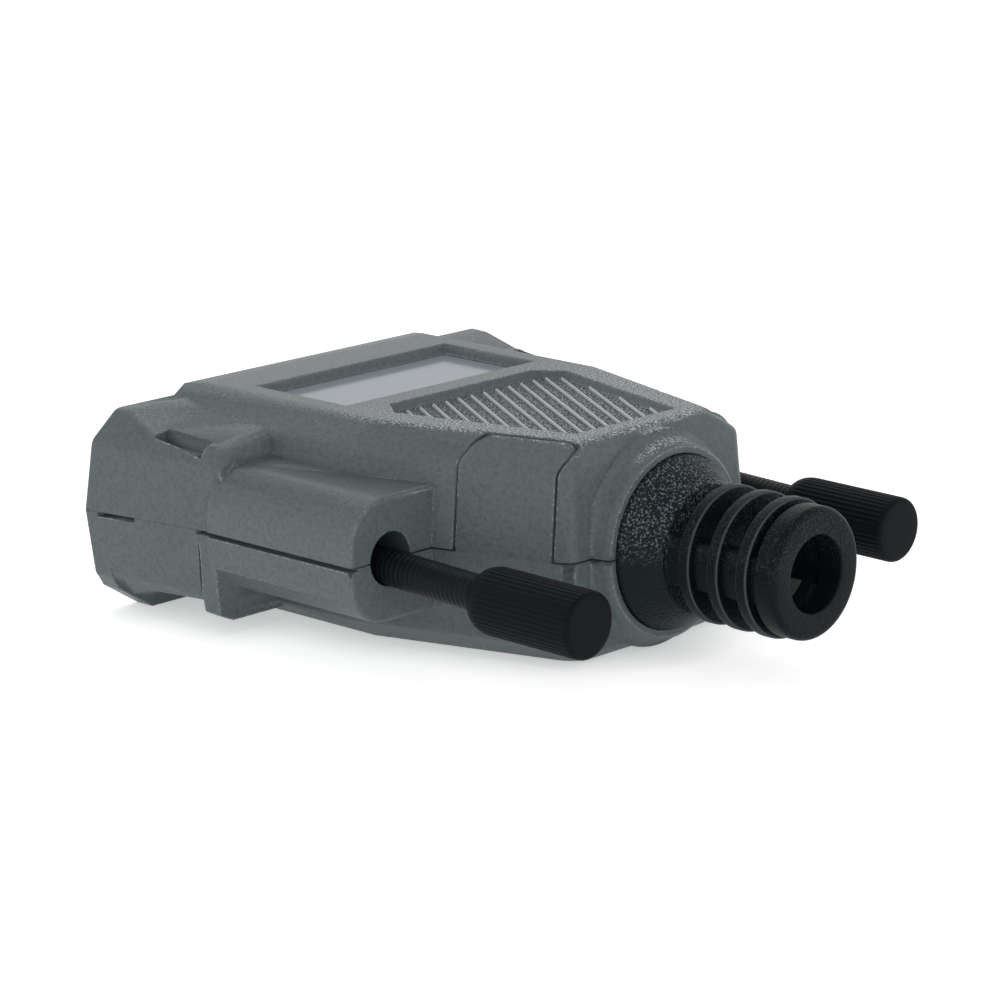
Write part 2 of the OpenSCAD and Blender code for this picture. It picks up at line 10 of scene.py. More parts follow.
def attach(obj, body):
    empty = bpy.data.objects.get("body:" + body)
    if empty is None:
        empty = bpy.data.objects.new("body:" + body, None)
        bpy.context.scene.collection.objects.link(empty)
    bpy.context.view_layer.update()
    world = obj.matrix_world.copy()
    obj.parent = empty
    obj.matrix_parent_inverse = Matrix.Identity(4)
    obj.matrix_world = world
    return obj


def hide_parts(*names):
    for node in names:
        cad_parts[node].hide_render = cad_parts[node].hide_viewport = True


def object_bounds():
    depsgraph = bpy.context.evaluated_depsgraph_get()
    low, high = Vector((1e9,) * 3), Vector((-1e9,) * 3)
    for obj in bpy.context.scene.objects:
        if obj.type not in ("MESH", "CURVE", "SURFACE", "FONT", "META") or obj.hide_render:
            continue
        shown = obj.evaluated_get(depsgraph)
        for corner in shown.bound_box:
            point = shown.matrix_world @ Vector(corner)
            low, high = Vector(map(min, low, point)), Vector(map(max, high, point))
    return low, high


mm = 0.001

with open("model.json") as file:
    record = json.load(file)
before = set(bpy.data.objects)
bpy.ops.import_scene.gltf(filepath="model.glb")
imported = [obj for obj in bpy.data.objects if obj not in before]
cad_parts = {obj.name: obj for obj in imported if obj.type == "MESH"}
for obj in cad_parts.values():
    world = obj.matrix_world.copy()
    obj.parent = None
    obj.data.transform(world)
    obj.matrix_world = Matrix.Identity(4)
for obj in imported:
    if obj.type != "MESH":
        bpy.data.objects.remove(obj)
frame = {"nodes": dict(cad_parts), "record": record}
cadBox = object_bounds()
bootEnd = cadBox[0][1]
partLine = (cadBox[0][2] + cadBox[1][2]) / 2
print("frame loaded:", len(frame["nodes"]), "nodes")


def inHood(point):
    # hood millimetres: x across, y from the boot's end to the mating face, z from the part line
    return Vector((point.x / mm, (point.y - bootEnd) / mm, (point.z - partLine) / mm))


def inFrame(x, y, z):
    # the place in the frame of hood millimetres
    return (x * mm, y * mm + bootEnd, z * mm + partLine)


def fromHex(code):
    # sRGB hex to the linear colour that sockets take
    channels = [int(code[i:i + 2], 16) / 255 for i in (1, 3, 5)]
    return [c / 12.92 if c <= 0.04045 else ((c + 0.055) / 1.055) ** 2.4 for c in channels] + [1.0]


def addNode(tree, kind, inputs=None, **properties):
    # each input is a constant or another node's output
    node = tree.nodes.new(kind)
    for name, value in properties.items():
        setattr(node, name, value)
    for name, value in (inputs or {}).items():
        if isinstance(value, bpy.types.NodeSocket):
            tree.links.new(value, node.inputs[name])
        else:
            node.inputs[name].default_value = value
    return node


def allOf(tree, mask, *others):
    # masks and shares multiplied: full only where each of them is
    for other in others:
        mask = addNode(tree, "ShaderNodeMath", {0: mask, 1: other}, operation="MULTIPLY").outputs[0]
    return mask


def runsOver(start, end, unit=1.0):
    # what a Map Range takes to give 0 at start and 1 at end
    return {"From Min": start * unit, "From Max": end * unit}


def perMm(count):
    # a texture scale that gives this many features in a millimetre
    return count / mm


def grainScale(size):
    # a texture scale whose grains are this many millimetres wide, with as much between them
    return perMm(0.5 / size)


def newMaterial(name, base, roughness, **settings):
    # a Principled material and its tree, shader and Object coordinates
    material = bpy.data.materials.new(name)
    material.use_nodes = True
    tree = material.node_tree
    tree.nodes.clear()
    shader = addNode(tree, "ShaderNodeBsdfPrincipled",
                     {"Base Color": fromHex(base), "Roughness": roughness, **settings})
    addNode(tree, "ShaderNodeOutputMaterial", {"Surface": shader.outputs["BSDF"]})
    place = addNode(tree, "ShaderNodeTexCoord").outputs["Object"]
    return material, tree, shader, place


def addSkin(tree, shader, place, grainsPerMm, detail, strength, depthMm):
    # a bump from noise, for the plainer finishes
    noise = addNode(tree, "ShaderNodeTexNoise",
                    {"Vector": place, "Scale": perMm(grainsPerMm), "Detail": detail})
    bump = addNode(tree, "ShaderNodeBump",
                   {"Height": noise.outputs["Fac"], "Strength": strength, "Distance": depthMm * mm})
    tree.links.new(bump.outputs["Normal"], shader.inputs["Normal"])


# a pair is where its mask starts and where it is full; recessMm is the band of heights round the recess floor
# edgeColour, fleckColour, pepperColour and recessColour paint highlights, glints, shaded specks and shade
shellFinish = {
    "colour": "#687275", "pitColour": "#5d6769", "roughness": 0.34, "specular": 0.36,
    "grainMm": 0.17, "grainDetail": 3.0, "grainRoughness": 0.65, "grainDepthMm": 0.05,
    "fineGrainMm": 0.1, "fineShare": 0.35, "pitNoise": (0.36, 0.56),
    "softEdgeMm": 0.22, "edgeTurn": (0.99, 0.93), "edgeColour": "#99a2a6", "edgeShare": 0.45,
    "flecksPerMm": 6.5, "fleckDetail": 1.5, "fleckColour": "#dfe4e6", "pepperColour": "#3a4144",
    "fleckNoise": (0.53, 0.62), "pepperNoise": (0.48, 0.38), "flecksOnEdges": 0.75, "flecksOnTops": 0.85,
    "upward": (0.8, 0.97), "topsAboveMm": 6.2, "paintedTopGlintsMm": (37.0, 27.0), "leastPaintedTopGlints": 0.15,
    "offSeamMm": (0.2, 0.4), "creaseMm": 0.4, "openness": (0.75, 0.95),
    "recessMm": (7.2, 7.6), "recessColour": "#3f4649", "recessShare": 0.8, "recessRoughness": 0.75,
}


def shellGrain(tree, shader, place):
    # the pebbled skin and slightly rounded edges; gives the grain and the normal without it
    grain = addNode(tree, "ShaderNodeTexNoise", {
        "Vector": place, "Scale": grainScale(shellFinish["grainMm"]), "Detail": shellFinish["grainDetail"],
        "Roughness": shellFinish["grainRoughness"]}).outputs["Fac"]
    fine = addNode(tree, "ShaderNodeTexVoronoi", {
        "Vector": place, "Scale": grainScale(shellFinish["fineGrainMm"])}, feature="SMOOTH_F1")
    both = addNode(tree, "ShaderNodeMix", {
        "Factor": shellFinish["fineShare"], 2: grain, 3: fine.outputs["Distance"]}, data_type="FLOAT")
    soft = addNode(tree, "ShaderNodeBevel", {"Radius": shellFinish["softEdgeMm"] * mm}, samples=4)
    bump = addNode(tree, "ShaderNodeBump", {
        "Height": both.outputs[0], "Normal": soft.outputs["Normal"], "Strength": 1.0,
        "Distance": shellFinish["grainDepthMm"] * mm})
    tree.links.new(bump.outputs["Normal"], shader.inputs["Normal"])
    return grain, soft.outputs["Normal"]


def shellPaintedMasks(tree, place, soft):
    # painted light masks: glints and specks on edges and rear tops, edge highlights, recess floor shade
    surface = addNode(tree, "ShaderNodeNewGeometry").outputs["Normal"]
    turned = addNode(tree, "ShaderNodeVectorMath", {0: surface, 1: soft}, operation="DOT_PRODUCT")
    onEdge = addNode(tree, "ShaderNodeMapRange", {
        "Value": turned.outputs["Value"], **runsOver(*shellFinish["edgeTurn"])}).outputs[0]
    upward = addNode(tree, "ShaderNodeSeparateXYZ", {0: soft}).outputs[2]
    facingUp = addNode(tree, "ShaderNodeMapRange", {
        "Value": upward, **runsOver(*shellFinish["upward"])}).outputs[0]
    parts = addNode(tree, "ShaderNodeSeparateXYZ", {0: place}).outputs
    height = addNode(tree, "ShaderNodeMath", {0: parts[2], 1: partLine}, operation="SUBTRACT").outputs[0]
    # painted glints on the tops are strongest at the rear, least forward, and none as low as the tunnels
    far, near = [bootEnd + along * mm for along in shellFinish["paintedTopGlintsMm"]]
    paintedTopGlints = addNode(tree, "ShaderNodeMapRange", {
        "Value": parts[1], **runsOver(far, near), "To Min": shellFinish["leastPaintedTopGlints"]}).outputs[0]
    high = addNode(tree, "ShaderNodeMath", {
        0: height, 1: shellFinish["topsAboveMm"] * mm}, operation="GREATER_THAN").outputs[0]
    # no painted glints or highlights along the closed seam or in inner corners
    fromSeam = addNode(tree, "ShaderNodeMath", {0: height}, operation="ABSOLUTE").outputs[0]
    offSeam = addNode(tree, "ShaderNodeMapRange", {
        "Value": fromSeam, **runsOver(*shellFinish["offSeamMm"], mm)}).outputs[0]
    shelter = addNode(tree, "ShaderNodeAmbientOcclusion", {
        "Distance": shellFinish["creaseMm"] * mm}, samples=2)
    proud = addNode(tree, "ShaderNodeMapRange", {
        "Value": shelter.outputs["AO"], **runsOver(*shellFinish["openness"])}).outputs[0]
    edges = allOf(tree, onEdge, shellFinish["flecksOnEdges"])
    tops = allOf(tree, facingUp, allOf(tree, paintedTopGlints, high), shellFinish["flecksOnTops"])
    either = addNode(tree, "ShaderNodeMath", {0: edges, 1: tops}, operation="MAXIMUM").outputs[0]
    paintedLight = allOf(tree, offSeam, proud, either)
    # a painted highlight along convex edges, in edgeColour
    bright = allOf(tree, onEdge, proud, shellFinish["edgeShare"], offSeam)
    # the floor of the grip's recess gets painted shade, a darker colour of its own
    bottom, ceiling = shellFinish["recessMm"]
    above = addNode(tree, "ShaderNodeMath", {0: height, 1: bottom * mm}, operation="GREATER_THAN").outputs[0]
    below = addNode(tree, "ShaderNodeMath", {0: height, 1: ceiling * mm}, operation="LESS_THAN").outputs[0]
    level = addNode(tree, "ShaderNodeMath", {
        0: upward, 1: shellFinish["upward"][1]}, operation="GREATER_THAN").outputs[0]
    return paintedLight, bright, allOf(tree, above, below, level)


def sparkErodedAbs():
    # ABS moulded in a spark-eroded tool: even grey with a fine pebbled grain; on edges and up-facing tops its
    # tips are painted as pale flecks and dark specks, a painted sparkle of light and shade
    material, tree, shader, place = newMaterial(
        "moulded grey ABS, spark-eroded", shellFinish["colour"], shellFinish["roughness"],
        **{"Specular IOR Level": shellFinish["specular"]})
    grain, soft = shellGrain(tree, shader, place)
    paintedLight, bright, sunk = shellPaintedMasks(tree, place, soft)
    speck = addNode(tree, "ShaderNodeTexNoise", {
        "Vector": place, "Scale": perMm(shellFinish["flecksPerMm"]),
        "Detail": shellFinish["fleckDetail"]}).outputs["Fac"]
    tips = addNode(tree, "ShaderNodeMapRange", {
        "Value": speck, **runsOver(*shellFinish["fleckNoise"])}).outputs[0]
    pepper = addNode(tree, "ShaderNodeMapRange", {
        "Value": speck, **runsOver(*shellFinish["pepperNoise"])}).outputs[0]
    # the pits of the grain hold a little shade
    tint = addNode(tree, "ShaderNodeValToRGB", {"Fac": grain})
    pit, flat = tint.color_ramp.elements
    pit.position, flat.position = shellFinish["pitNoise"]
    pit.color = fromHex(shellFinish["pitColour"])
    flat.color = fromHex(shellFinish["colour"])
    colour = tint.outputs["Color"]
    # painted light over the grain: shade on the recess floor, dark specks, edge highlights and pale glints
    for layer, share in (("recessColour", allOf(tree, sunk, shellFinish["recessShare"])),
                         ("pepperColour", allOf(tree, pepper, paintedLight)),
                         ("edgeColour", bright),
                         ("fleckColour", allOf(tree, tips, paintedLight))):
        colour = addNode(tree, "ShaderNodeMix", {
            0: share, 6: colour, 7: fromHex(shellFinish[layer])}, data_type="RGBA").outputs[2]
    dry = addNode(tree, "ShaderNodeMapRange", {
        "Value": sunk, "To Min": shellFinish["roughness"], "To Max": shellFinish["recessRoughness"]})
    tree.links.new(dry.outputs[0], shader.inputs["Roughness"])
    tree.links.new(colour, shader.inputs["Base Color"])
    return material


def paintedHighlightAbs():
    # the ribs are painted pale all over, a painted highlight for crests that catch the light from above
    material, tree, shader, place = newMaterial("moulded grey ABS, rubbed", "#c6cccf", 0.34)
    addSkin(tree, shader, place, grainsPerMm=6, detail=2.0, strength=0.8, depthMm=0.03)
    return material


def polishedAbsPaintedReflection():
    # the label window's floor comes from a polished insert in the tool, so it mirrors the sky softly
    # its pale bluish base colour is a painted reflection, on top of the real one
    material, tree, shader, place = newMaterial("moulded grey ABS, polished", "#98a3ac", 0.12, IOR=1.8)
    addSkin(tree, shader, place, grainsPerMm=0.4, detail=2.0, strength=0.15, depthMm=0.01)
    return material


# flecks: painted glints' shares off and on the flange; edgeMm are the radii between which segment corners
# shine
pvcFinish = {
    "colour": "#0e1519", "flangeColour": "#1c252a", "roughness": 0.38, "specular": 0.13,
    "pebblesPerMm": 4.6, "pebbleDepthMm": 0.14, "smoother": 0.3, "finePerMm": 5, "fineDetail": 2.0,
    "fineShare": 0.4, "flangeFromMm": 9.6, "flangeBlendMm": 0.3,
    "edgeColour": "#4a5155", "edgeMm": (4.78, 4.84, 4.9, 4.95),
    "flecksPerMm": 6.0, "fleckDetail": 1.5, "fleckColour": "#7b8387", "fleckNoise": (0.52, 0.66),
    "flecks": (0.12, 0.85), "upperMm": (-0.6, 1.5),
}


def pvcSkin(tree, shader, place, onFlange):
    # pebbles and a finer grain, lighter off the flange
    pebble = addNode(tree, "ShaderNodeTexVoronoi", {
        "Vector": place, "Scale": perMm(pvcFinish["pebblesPerMm"])}, feature="SMOOTH_F1")
    fine = addNode(tree, "ShaderNodeTexNoise", {
        "Vector": place, "Scale": perMm(pvcFinish["finePerMm"]), "Detail": pvcFinish["fineDetail"]})
    both = addNode(tree, "ShaderNodeMix", {
        "Factor": pvcFinish["fineShare"], 2: pebble.outputs["Distance"], 3: fine.outputs["Fac"]},
        data_type="FLOAT")
    strength = addNode(tree, "ShaderNodeMapRange", {"Value": onFlange, "To Min": pvcFinish["smoother"]})
    bump = addNode(tree, "ShaderNodeBump", {
        "Height": allOf(tree, both.outputs[0], strength.outputs[0]), "Strength": 1.0,
        "Distance": pvcFinish["pebbleDepthMm"] * mm})
    tree.links.new(bump.outputs["Normal"], shader.inputs["Normal"])


def mouldedPvc():
    # soft black PVC: nearly matt; the broad flange is etched coarsely, the rest lightly; pale flecks on the
    # upper half, many on the flange and few elsewhere, are painted glints
    material, tree, shader, place = newMaterial(
        "moulded black PVC", pvcFinish["colour"], pvcFinish["roughness"],
        **{"Specular IOR Level": pvcFinish["specular"]})
    parts = addNode(tree, "ShaderNodeSeparateXYZ", {0: place}).outputs
    up = addNode(tree, "ShaderNodeMath", {0: parts[2], 1: partLine}, operation="SUBTRACT").outputs[0]
    start = bootEnd + pvcFinish["flangeFromMm"] * mm
    onFlange = addNode(tree, "ShaderNodeMapRange", {
        "Value": parts[1], **runsOver(start, start + pvcFinish["flangeBlendMm"] * mm)}).outputs[0]
    pvcSkin(tree, shader, place, onFlange)
    # the rounded corners of the segments catch light
    fromAxis = addNode(tree, "ShaderNodeCombineXYZ", {0: parts[0], 1: up}).outputs[0]
    radius = addNode(tree, "ShaderNodeVectorMath", {0: fromAxis}, operation="LENGTH").outputs["Value"]
    innermost, inside, outside, outermost = pvcFinish["edgeMm"]
    rise = addNode(tree, "ShaderNodeMapRange", {
        "Value": radius, **runsOver(innermost, inside, mm)}).outputs[0]
    fall = addNode(tree, "ShaderNodeMapRange", {
        "Value": radius, **runsOver(outermost, outside, mm)}).outputs[0]
    offFlange = addNode(tree, "ShaderNodeMath", {0: 1.0, 1: onFlange}, operation="SUBTRACT").outputs[0]
    # painted glints: pale flecks on the upper half, where light from above would catch the pebbles
    speck = addNode(tree, "ShaderNodeTexNoise", {
        "Vector": place, "Scale": perMm(pvcFinish["flecksPerMm"]), "Detail": pvcFinish["fleckDetail"]})
    tips = addNode(tree, "ShaderNodeMapRange", {
        "Value": speck.outputs["Fac"], **runsOver(*pvcFinish["fleckNoise"])}).outputs[0]
    upper = addNode(tree, "ShaderNodeMapRange", {
        "Value": up, **runsOver(*pvcFinish["upperMm"], mm)}).outputs[0]
    few, many = pvcFinish["flecks"]
    paintedGlints = addNode(tree, "ShaderNodeMapRange", {
        "Value": onFlange, "To Min": few, "To Max": many}).outputs[0]
    colour = fromHex(pvcFinish["colour"])
    for layer, share in (("flangeColour", onFlange), ("edgeColour", allOf(tree, rise, fall, offFlange)),
                         ("fleckColour", allOf(tree, tips, upper, paintedGlints))):
        colour = addNode(tree, "ShaderNodeMix", {
            0: share, 6: colour, 7: fromHex(pvcFinish[layer])}, data_type="RGBA").outputs[2]
    tree.links.new(colour, shader.inputs["Base Color"])
    return material


def mouldedNylon():
    # black nylon: matt with a dry, slightly mottled skin
    material, tree, shader, place = newMaterial(
        "moulded black nylon", "#101519", 0.5, **{"Specular IOR Level": 0.1})
    addSkin(tree, shader, place, grainsPerMm=6, detail=3.0, strength=0.5, depthMm=0.01)
    return material


def blackenedSteel():
    # rolled steel thread with a black oxide skin: dark, with a dull sheen on each crest
    material, tree, shader, place = newMaterial(
        "blackened steel", "#15191b", 0.45, Metallic=0.3, **{"Specular IOR Level": 0.2})
    patch = addNode(tree, "ShaderNodeTexNoise", {"Vector": place, "Scale": perMm(1.5), "Detail": 4.0})
    rough = addNode(tree, "ShaderNodeMapRange", {
        "Value": patch.outputs["Fac"], "To Min": 0.34, "To Max": 0.55})
    tree.links.new(rough.outputs["Result"], shader.inputs["Roughness"])
    return material


def zincSteel():
    # bright zinc plate over pressed steel: pale, with faint rolling lines
    material, tree, shader, place = newMaterial("zinc-plated steel", "#b9bdc0", 0.32, Metallic=1.0)
    stretch = addNode(tree, "ShaderNodeMapping", {"Vector": place, "Scale": (1.0, 0.08, 1.0)})
    addSkin(tree, shader, stretch.outputs["Vector"], grainsPerMm=8, detail=2.0, strength=0.3, depthMm=0.005)
    return material


finishes = {
    "shell_plastic": sparkErodedAbs(), "boot_rubber": mouldedPvc(), "knob_plastic": mouldedNylon(),
    "black_steel": blackenedSteel(), "zinc_steel": zincSteel(),
}
windowFinish = polishedAbsPaintedReflection()
ribFinish = paintedHighlightAbs()
print("materials made:", len(finishes) + 2)

bodyOf = {node: body for body, nodes in frame["record"]["behaviour"]["bodies"].items() for node in nodes}
slotOf = {part["node"]: part["material_slot"] for part in frame["record"]["subparts"]}


def addToScene(name, mesh):
    piece = bpy.data.objects.new(name, mesh)
    bpy.context.scene.collection.objects.link(piece)
    return piece


weldMm = 0.002  # corners nearer than this are one
flatDegrees = 0.4  # faces nearer to one plane than this are one face


def joinedCopy(name):
    # the node's mesh with its loose triangles merged and its flat faces whole again
    node = frame["nodes"][name]
    form = bmesh.new()
    form.from_mesh(node.data)
    form.transform(node.matrix_world)
    bmesh.ops.remove_doubles(form, verts=form.verts, dist=weldMm * mm)
    bmesh.ops.dissolve_limit(form, angle_limit=math.radians(flatDegrees), verts=form.verts, edges=form.edges)
    bmesh.ops.recalc_face_normals(form, faces=form.faces)
    return form


def smoothUnder(mesh, degrees):
    # smooth shading over edges flatter than this
    mesh.shade_smooth()
    mesh.set_sharp_from_angle(angle=math.radians(degrees))


def finished(name, mesh, node):
    # the piece takes its node's place and body
    piece = addToScene(name, mesh)
    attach(piece, bodyOf[node])
    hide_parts(node)


def throughModifiers(source):
    # the mesh that an object shows with its modifiers; the object itself goes
    bpy.context.view_layer.update()
    mesh = bpy.data.meshes.new_from_object(source.evaluated_get(bpy.context.evaluated_depsgraph_get()))
    bpy.data.objects.remove(source)
    return mesh


def evenlyShaded(name, form, degrees, *materials):
    # smooth shading over edges flatter than this that keeps flat faces flat
    mesh = bpy.data.meshes.new(name)
    for material in materials:
        mesh.materials.append(material)
    form.to_mesh(mesh)
    form.free()
    smoothUnder(mesh, degrees)
    raw = addToScene(name + "_raw", mesh)
    level = raw.modifiers.new("even shading", "WEIGHTED_NORMAL")
    level.keep_sharp = True
    return throughModifiers(raw)


def newNodesGroup(name, numbers):
    # a Geometry Nodes group with a geometry in and out, a material, and named numbers
    tree = bpy.data.node_groups.new(name, "GeometryNodeTree")
    tree.interface.new_socket("Geometry", in_out="INPUT", socket_type="NodeSocketGeometry")
    tree.interface.new_socket("Geometry", in_out="OUTPUT", socket_type="NodeSocketGeometry")
    tree.interface.new_socket("Material", in_out="INPUT", socket_type="NodeSocketMaterial")
    for label in numbers:
        tree.interface.new_socket(label, in_out="INPUT", socket_type="NodeSocketFloat")
    return tree, tree.nodes.new("NodeGroupInput"), tree.nodes.new("NodeGroupOutput")


def applyGroup(source, tree, values):
    cut = source.modifiers.new(tree.name, "NODES")
    cut.node_group = tree
    for item in tree.interface.items_tree:
        if item.in_out == "INPUT" and item.name in values:
            cut[item.identifier] = values[item.name]


# both recesses in the top: outline from above, a height below the solid's own floor, and the soft wall as
# rings of inset and height
labelWindow = {
    "outline": [(-10.0, 35.4), (10.0, 35.4), (10.0, 45.0), (-10.0, 45.0)],
    "wall": [(0.06, 7.98), (0.16, 7.9), (0.28, 7.7), (0.4, 7.4), (0.5, 7.28), (0.66, 7.25)], "deepest": 7.0,
}
gripRecess = {
    "outline": [(-5.4, 17.35), (5.4, 17.35), (9.2, 31.4), (7.5, 33.6), (-7.5, 33.6), (-9.2, 31.4)],
    "wall": [(0.05, 7.98), (0.13, 7.9), (0.25, 7.62), (0.36, 7.44), (0.5, 7.4)], "deepest": 7.3,
}
gripRibs = {
    "count": 16, "firstX": -7.5, "frontY": 31.2, "step": 1.33, "angle": 31.5, "floorZ": 7.4, "width": 0.22,
    "height": 0.2, "endGap": 0.5, "frontGap": 1.2, "stepLength": 0.05, "steps": (-100, 500),
    "sides": 20, "smoothUnder": 50,
}
underTop = 7.995  # just below the shell's top, in hood millimetres
wallSlack = 0.03  # how far past its outline a recess's own faces may lie


def withinOutline(outline, x, y, grown):
    # whether a place is inside a convex outline, given counterclockwise, that is grown by some millimetres
    for (x0, y0), (x1, y1) in zip(outline, outline[1:] + outline[:1]):
        if ((x1 - x0) * (y - y0) - (y1 - y0) * (x - x0)) / math.hypot(x1 - x0, y1 - y0) < -grown:
            return False
    return True


def insetLoop(loop, inset):
    # the closed counterclockwise loop moved inwards
    moved = []
    for before, at, after in zip(loop[-1:] + loop[:-1], loop, loop[1:] + loop[:1]):
        u, v = (at - before).normalized(), (after - at).normalized()
        across = Vector((-u.y, u.x)) + Vector((-v.y, v.x))
        moved.append(at + across * (inset / (1 + u.dot(v))))
    return moved


def softenRecess(form, recess):
    # takes out a recess's floor and walls, then closes it again with walls that run softly into a flat floor
    inside = []
    for face in form.faces:
        centre = inHood(face.calc_center_median())
        within = withinOutline(recess["outline"], centre.x, centre.y, wallSlack)
        if recess["deepest"] < centre.z < underTop and within:
            inside.append(face)
    bmesh.ops.delete(form, geom=inside, context="FACES")
    rim = {}
    for edge in form.edges:
        if edge.is_boundary:
            low, high = edge.verts
            rim.setdefault(low, []).append(high)
            rim.setdefault(high, []).append(low)
    ring = [next(iter(rim))]
    while len(ring) < len(rim):
        ring.append(next(v for v in rim[ring[-1]] if v not in ring[-2:]))
    flat = [inHood(v.co).xy for v in ring]
    area = sum(a.x * b.y - b.x * a.y for a, b in zip(flat, flat[1:] + flat[:1]))
    if area < 0:
        ring.reverse()
        flat.reverse()
    for inset, height in recess["wall"]:
        inner = [form.verts.new(inFrame(p.x, p.y, height)) for p in insetLoop(flat, inset)]
        for k in range(len(ring)):
            n = (k + 1) % len(ring)
            form.faces.new((ring[k], ring[n], inner[n], inner[k]))
        ring = inner
    return form.faces.new(ring)


def ribLines():
    # each rib's run over the recess floor, cut off at the outline
    outline = gripRecess["outline"]
    angle = math.radians(gripRibs["angle"])
    way = -Vector((math.sin(angle), math.cos(angle)))
    front = outline[3][1] - gripRibs["frontGap"]
    before, after = gripRibs["steps"]
    lines = []
    for k in range(gripRibs["count"]):
        start = Vector((gripRibs["firstX"] + k * gripRibs["step"], gripRibs["frontY"]))
        places = [start + way * (t * gripRibs["stepLength"]) for t in range(before, after)]
        run = [p for p in places if withinOutline(outline, p.x, p.y, -gripRibs["endGap"]) and p.y < front]
        lines.append((run[0], run[-1]))
    return lines


def makeRibGroup():
    # a low rounded ridge along each edge of the mesh that comes in
    tree, start, end = newNodesGroup("moulded ribs", ("Width", "Height"))
    paths = addNode(tree, "GeometryNodeMeshToCurve", {"Mesh": start.outputs["Geometry"]})
    upright = addNode(tree, "GeometryNodeSetCurveNormal", {"Curve": paths.outputs[0]}, mode="Z_UP")
    loop = addNode(tree, "GeometryNodeCurvePrimitiveCircle", {"Resolution": gripRibs["sides"], "Radius": 1.0})
    size = addNode(tree, "ShaderNodeCombineXYZ", {
        0: allOf(tree, start.outputs["Width"], 0.5), 1: start.outputs["Height"]})
    section = addNode(tree, "GeometryNodeTransform", {"Geometry": loop.outputs[0], "Scale": size.outputs[0]})
    ridges = addNode(tree, "GeometryNodeCurveToMesh", {
        "Curve": upright.outputs[0], "Profile Curve": section.outputs[0], "Fill Caps": True})
    dressed = addNode(tree, "GeometryNodeSetMaterial", {
        "Geometry": ridges.outputs[0], "Material": start.outputs["Material"]})
    tree.links.new(dressed.outputs[0], end.inputs["Geometry"])
    return tree


def makeRibs():
    mesh = bpy.data.meshes.new("rib_lines")
    points = [inFrame(p.x, p.y, gripRibs["floorZ"]) for line in ribLines() for p in line]
    mesh.from_pydata(points, [(k, k + 1) for k in range(0, len(points), 2)], [])
    source = addToScene("grip_ribs_raw", mesh)
    applyGroup(source, makeRibGroup(), {
        "Width": gripRibs["width"] * mm, "Height": gripRibs["height"] * mm, "Material": ribFinish})
    mesh = throughModifiers(source)
    smoothUnder(mesh, gripRibs["smoothUnder"])
    piece = addToScene("grip_ribs", mesh)
    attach(piece, "hood")
    print("ribs:", len(points) // 2)


# the feet of the side latch tabs, in hood millimetres; across is the shell's half width at the foot's middle
tabFoot = {
    "rear": 15.55, "front": 22.65, "middle": 19.0, "across": 10.929, "lean": 0.31, "deep": 0.68,
    "heights": (-0.13, 0.01),
}
shellShading = 34  # degrees


def fillTabFeet(form):
    # the tabs grow out of the lower shell, so the gap along the part line is closed under them
    rear, front, deep = tabFoot["rear"], tabFoot["front"], tabFoot["deep"]
    for side in (-1, 1):
        outline = []
        for y, inward in ((rear, 0), (front, 0), (front, deep), (rear, deep)):
            outline.append((tabFoot["across"] + tabFoot["lean"] * (y - tabFoot["middle"]) - inward, y))
        low, high = [[form.verts.new(inFrame(side * x, y, z)) for x, y in outline]
                     for z in tabFoot["heights"]]
        faces = [form.faces.new(low), form.faces.new(high)]
        for k in range(len(outline)):
            n = (k + 1) % len(outline)
            faces.append(form.faces.new((low[k], low[n], high[n], high[k])))
        bmesh.ops.recalc_face_normals(form, faces=faces)


def makeShells():
    for node in ("upper_shell", "lower_shell"):
        form = joinedCopy(node)
        if node == "upper_shell":
            softenRecess(form, gripRecess)
            softenRecess(form, labelWindow).material_index = 1
        else:
            fillTabFeet(form)
        mesh = evenlyShaded(node + "_moulding", form, shellShading, finishes["shell_plastic"], windowFinish)
        finished(node + "_moulding", mesh, node)
        print(node, "moulding:", len(mesh.polygons), "faces")


makeShells()

straight = math.radians(89)  # half of a corner's angle from which it counts as a straight run


def rounded(points, radii, steps=4):
    # the open line through the points with each inner corner rounded to its radius
    line = [Vector(points[0])]
    for before, corner, after, radius in zip(points, points[1:], points[2:], radii):
        corner = Vector(corner)
        u, v = (Vector(before) - corner).normalized(), (Vector(after) - corner).normalized()
        half = u.angle(v) / 2
        if radius == 0 or half > straight:
            line.append(corner)
            continue
        centre = corner + (u + v).normalized() * radius / math.sin(half)
        first = corner + u * radius / math.tan(half) - centre
        last = corner + v * radius / math.tan(half) - centre
        turn = math.atan2(first.x * last.y - first.y * last.x, first.dot(last))
        for k in range(steps + 1):
            a = turn * k / steps
            line.append(centre + Vector((first.x * math.cos(a) - first.y * math.sin(a),
                                         first.x * math.sin(a) + first.y * math.cos(a))))
    return [(p.x, p.y) for p in line + [Vector(points[-1])]]


def latheInto(form, profile, columns, closed):
    # adds the turned form of (height, radius) pairs in mm; an open line ends in flat discs
    rings = [[form.verts.new((radius * mm * math.cos(2 * math.pi * k / columns),
                              radius * mm * math.sin(2 * math.pi * k / columns), height * mm))
              for k in range(columns)] for height, radius in profile]
    if closed:
        rings.append(rings[0])
    for low, high in zip(rings, rings[1:]):
        for k in range(columns):
            form.faces.new((low[k], low[(k + 1) % columns], high[(k + 1) % columns], high[k]))
    if not closed:
        form.faces.new(rings[0][::-1])
        form.faces.new(rings[-1])


